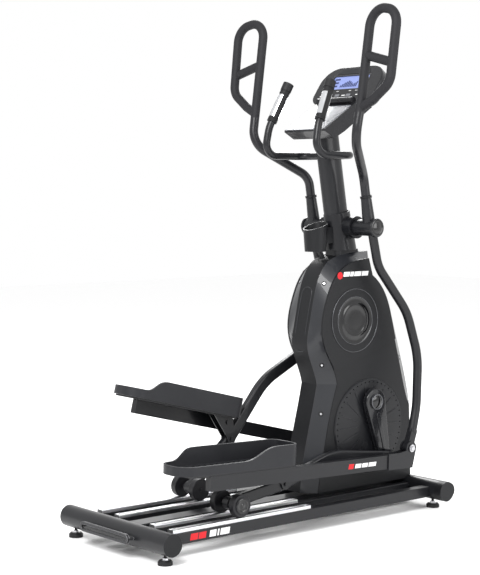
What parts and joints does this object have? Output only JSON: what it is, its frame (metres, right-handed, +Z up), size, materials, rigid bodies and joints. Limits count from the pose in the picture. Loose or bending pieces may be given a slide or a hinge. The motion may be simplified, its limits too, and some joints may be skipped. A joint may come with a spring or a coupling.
{
  "type": "elliptical trainer",
  "caption": "Elliptical cross trainer with swinging handles, rail-borne pedals, a crank drive in an upright housing, fixed hand bars and a console.",
  "frame": {"origin": "on the floor under the middle of the machine's length and width", "axes": "+X from the rear foot tube towards the console, +Y to the user's left, +Z up"},
  "size_m": [1.452, 0.8916, 1.8805],
  "materials": {
    "charcoal_paint": "satin charcoal powder coat",
    "grip_foam": "matte foam",
    "black_plastic": "fine grained",
    "grey_plastic": "satin gloss",
    "rail_aluminium": "brushed",
    "bright_steel": "ground",
    "flywheel_iron": "turned",
    "foot_rubber": "matte",
    "roller_urethane": "smooth",
    "contact_steel": "polished",
    "display": "clear lens",
    "clear_sheet": "pale translucent",
    "thumb_cap": "satin"
  },
  "bodies": {
    "base": {"rear_stabilizer": "charcoal_paint", "front_stabilizer": "charcoal_paint", "rear_end_caps": "black_plastic", "front_end_caps": "black_plastic", "lifting_handle": "charcoal_paint", "side_bars": "charcoal_paint", "inner_bars": "charcoal_paint", "centre_beam": "charcoal_paint", "left_rails": "rail_aluminium", "right_rails": "rail_aluminium", "rail_screws": "bright_steel", "main_upright": "charcoal_paint", "crank_bearings": "bright_steel", "drive_belt": "foot_rubber", "magnet_brake": "charcoal_paint", "pivot_shaft": "bright_steel", "mast": "charcoal_paint", "left_side_panel": "black_plastic", "right_side_panel": "black_plastic", "side_shells": "grey_plastic", "rear_spine_cover": "black_plastic", "front_cover": "black_plastic", "disc_covers": "black_plastic", "top_shroud": "black_plastic", "bottle_holder": "black_plastic", "pulse_handlebar": "charcoal_paint", "pulse_grips": "grip_foam", "contact_plates": "contact_steel", "console_housing": "black_plastic", "display_screen": "display", "reading_tray": "black_plastic", "tray_panel": "clear_sheet"},
    "crank": {"crank_axle": "bright_steel", "drive_pulley": "black_plastic", "left_crank_arm": "charcoal_paint", "right_crank_arm": "charcoal_paint"},
    "flywheel_set": {"flywheel_shaft": "bright_steel", "flywheel": "flywheel_iron"},
    "right_arm": {"right_swing_arm": "charcoal_paint", "right_handle": "grip_foam"},
    "left_arm": {"left_swing_arm": "charcoal_paint", "left_handle": "grip_foam"},
    "right_link": {"right_pedal_bar": "charcoal_paint", "right_pedal": "black_plastic"},
    "right_carriage": {"right_roller_arm": "charcoal_paint"},
    "right_roller_pair": {"right_rollers": "roller_urethane"},
    "left_link": {"left_pedal_bar": "charcoal_paint", "left_pedal": "black_plastic"},
    "left_carriage": {"left_roller_arm": "charcoal_paint"},
    "left_roller_pair": {"left_rollers": "roller_urethane"},
    "left_transport": {"left_transport_wheel": "black_plastic"},
    "right_transport": {"right_transport_wheel": "black_plastic"},
    "rear_left_leveller": {"rear_left_foot": "foot_rubber"},
    "rear_right_leveller": {"rear_right_foot": "foot_rubber"},
    "front_left_leveller": {"front_left_foot": "foot_rubber"},
    "front_right_leveller": {"front_right_foot": "foot_rubber"},
    "left_thumb": {"left_thumb_button": "thumb_cap"},
    "right_thumb": {"right_thumb_button": "thumb_cap"},
    "left_key": {"left_console_key": "black_plastic"},
    "right_key": {"right_console_key": "black_plastic"}
  },
  "joints": [
    {"name": "right_arm_swing", "type": "hinge", "parent": "base", "child": "right_arm", "pos_m": [0.383, 0, 1.082], "axis": [0, -1, 0], "range_deg": [-14, 14]},
    {"name": "left_arm_swing", "type": "hinge", "parent": "base", "child": "left_arm", "pos_m": [0.383, 0, 1.082], "axis": [0, -1, 0], "range_deg": [-14, 14]},
    {"name": "right_pedal_bar_pivot", "type": "hinge", "parent": "right_arm", "child": "right_link", "pos_m": [0.51996, -0.225, 0.2502], "axis": [0, -1, 0], "range_deg": [-12.4, 12.4]},
    {"name": "right_roller_travel", "type": "slide", "parent": "base", "child": "right_carriage", "axis": [1, 0, 0], "range_m": [-0.208, 0.208]},
    {"name": "right_roller_spin", "type": "hinge", "parent": "right_carriage", "child": "right_roller_pair", "pos_m": [-0.29592, -0.15, 0.1373], "axis": [0, 1, 0], "continuous": true},
    {"name": "left_pedal_bar_pivot", "type": "hinge", "parent": "left_arm", "child": "left_link", "pos_m": [0.51996, 0.225, 0.2502], "axis": [0, -1, 0], "range_deg": [-12.4, 12.4]},
    {"name": "left_roller_travel", "type": "slide", "parent": "base", "child": "left_carriage", "axis": [1, 0, 0], "range_m": [-0.208, 0.208]},
    {"name": "left_roller_spin", "type": "hinge", "parent": "left_carriage", "child": "left_roller_pair", "pos_m": [-0.23044, 0.15, 0.1373], "axis": [0, 1, 0], "continuous": true},
    {"name": "crank_spin", "type": "hinge", "parent": "base", "child": "crank", "pos_m": [0.449, 0, 0.42], "axis": [0, -1, 0], "continuous": true},
    {"name": "flywheel_spin", "type": "hinge", "parent": "base", "child": "flywheel_set", "pos_m": [0.362, -0.047, 0.733], "axis": [0, -1, 0], "continuous": true},
    {"name": "left_transport_wheel_spin", "type": "hinge", "parent": "base", "child": "left_transport", "pos_m": [0.696, 0.2691, 0.07], "axis": [0, 1, 0], "continuous": true},
    {"name": "right_transport_wheel_spin", "type": "hinge", "parent": "base", "child": "right_transport", "pos_m": [0.696, -0.2691, 0.07], "axis": [0, 1, 0], "continuous": true},
    {"name": "rear_left_foot_level", "type": "slide", "parent": "base", "child": "rear_left_leveller", "axis": [0, 0, -1], "range_m": [0, 0.012]},
    {"name": "rear_right_foot_level", "type": "slide", "parent": "base", "child": "rear_right_leveller", "axis": [0, 0, -1], "range_m": [0, 0.012]},
    {"name": "front_left_foot_level", "type": "slide", "parent": "base", "child": "front_left_leveller", "axis": [0, 0, -1], "range_m": [0, 0.012]},
    {"name": "front_right_foot_level", "type": "slide", "parent": "base", "child": "front_right_leveller", "axis": [0, 0, -1], "range_m": [0, 0.012]},
    {"name": "left_thumb_button_press", "type": "slide", "parent": "base", "child": "left_thumb", "axis": [-0.4379, 0.1067, -0.8927], "range_m": [0, 0.001], "stiffness_N_per_m": 400},
    {"name": "right_thumb_button_press", "type": "slide", "parent": "base", "child": "right_thumb", "axis": [-0.4379, -0.1067, -0.8927], "range_m": [0, 0.001], "stiffness_N_per_m": 400},
    {"name": "left_console_key_press", "type": "slide", "parent": "base", "child": "left_key", "axis": [0.8192, 0, -0.5736], "range_m": [0, 0.001], "stiffness_N_per_m": 400},
    {"name": "right_console_key_press", "type": "slide", "parent": "base", "child": "right_key", "axis": [0.8192, 0, -0.5736], "range_m": [0, 0.001], "stiffness_N_per_m": 400}
  ],
  "couplings": [
    {"joint": "left_arm_swing", "follows": "right_arm_swing", "ratio": -1},
    {"joint": "right_pedal_bar_pivot", "follows": "right_arm_swing", "ratio": -0.88},
    {"joint": "right_roller_travel", "follows": "right_arm_swing", "m_per_rad": 0.85},
    {"joint": "right_roller_spin", "follows": "right_arm_swing", "ratio": 21.25},
    {"joint": "left_pedal_bar_pivot", "follows": "right_arm_swing", "ratio": 0.88},
    {"joint": "left_roller_travel", "follows": "right_arm_swing", "m_per_rad": -0.85},
    {"joint": "left_roller_spin", "follows": "right_arm_swing", "ratio": -21.25},
    {"joint": "crank_spin", "follows": "right_arm_swing", "ratio": 3.936},
    {"joint": "flywheel_spin", "follows": "right_arm_swing", "ratio": 25.584}
  ]
}
